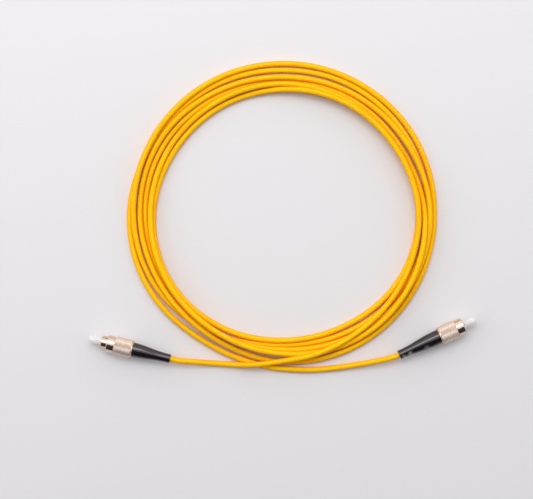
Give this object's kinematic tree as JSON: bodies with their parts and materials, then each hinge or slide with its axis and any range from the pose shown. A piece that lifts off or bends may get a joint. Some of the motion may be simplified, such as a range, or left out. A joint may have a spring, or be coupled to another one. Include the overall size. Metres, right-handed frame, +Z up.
{
  "type": "fiber optic patch cord",
  "caption": "Simplex fiber optic patch cord in a loose coil, with a threaded round plug, a tapered boot and a dust cap at each end.",
  "frame": {"origin": "middle of the whole object's outline seen from above, on the surface it lies on", "axes": "+Z up from that surface; +X to the viewer's right along the line of the two plugs, its longest extent; +Y away from the plugs, across the coil"},
  "size_m": [0.2049, 0.1663, 0.0095],
  "materials": {
    "cord_jacket": "satin",
    "boot_rubber": "gloss",
    "plated_nut": "satin",
    "plated_body": "polished",
    "ring_wire": "satin",
    "spring_wire": "satin",
    "crimp_copper": "satin",
    "ferrule_ceramic": "polished",
    "fibre_glass": "gloss",
    "yarn": "matte",
    "cap_plastic": "satin"
  },
  "bodies": {
    "cord": {"cord_coil": "cord_jacket", "lead_a": "cord_jacket", "lead_b": "cord_jacket", "plug_frame_a": "plated_body", "stop_ring_a": "plated_body", "spring_a": "spring_wire", "buffer_a": "fibre_glass", "aramid_yarn_a": "yarn", "crimp_sleeve_a": "crimp_copper", "boot_a": "boot_rubber", "plug_frame_b": "plated_body", "stop_ring_b": "plated_body", "spring_b": "spring_wire", "buffer_b": "fibre_glass", "aramid_yarn_b": "yarn", "crimp_sleeve_b": "crimp_copper", "boot_b": "boot_rubber"},
    "nut_ring_a": {"nut_ring_a": "ring_wire"},
    "nut_a": {"coupling_nut_a": "plated_nut"},
    "ferrule_a": {"ferrule_a": "ferrule_ceramic", "ferrule_holder_a": "plated_body", "fibre_a": "fibre_glass"},
    "cap_a": {"dust_cap_a": "cap_plastic"},
    "nut_ring_b": {"nut_ring_b": "ring_wire"},
    "nut_b": {"coupling_nut_b": "plated_nut"},
    "ferrule_b": {"ferrule_b": "ferrule_ceramic", "ferrule_holder_b": "plated_body", "fibre_b": "fibre_glass"},
    "cap_b": {"dust_cap_b": "cap_plastic"}
  },
  "joints": [
    {"name": "nut_slide_a", "type": "slide", "parent": "cord", "child": "nut_ring_a", "axis": [-0.9703, 0.2419, 0], "range_m": [0, 0.003]},
    {"name": "nut_turn_a", "type": "hinge", "parent": "nut_ring_a", "child": "nut_a", "pos_m": [-0.09589, -0.06642, 0.00475], "axis": [-0.9703, 0.2419, 0], "continuous": true},
    {"name": "ferrule_float_a", "type": "slide", "parent": "cord", "child": "ferrule_a", "axis": [0.9703, -0.2419, 0], "range_m": [0, 0.001], "stiffness_N_per_m": 1000, "deforming": ["spring_a", "buffer_a"]},
    {"name": "cap_pull_a", "type": "slide", "parent": "ferrule_a", "child": "cap_a", "axis": [-0.9703, 0.2419, 0], "range_m": [0, 0.008]},
    {"name": "nut_slide_b", "type": "slide", "parent": "cord", "child": "nut_ring_b", "axis": [0.9078, 0.4195, 0], "range_m": [-0.003, 0]},
    {"name": "nut_turn_b", "type": "hinge", "parent": "nut_ring_b", "child": "nut_b", "pos_m": [0.09575, -0.05773, 0.00475], "axis": [0.9078, 0.4195, 0], "continuous": true},
    {"name": "ferrule_float_b", "type": "slide", "parent": "cord", "child": "ferrule_b", "axis": [-0.9078, -0.4195, 0], "range_m": [0, 0.001], "stiffness_N_per_m": 1000, "deforming": ["spring_b", "buffer_b"]},
    {"name": "cap_pull_b", "type": "slide", "parent": "ferrule_b", "child": "cap_b", "axis": [0.9078, 0.4195, 0], "range_m": [0, 0.008]}
  ]
}
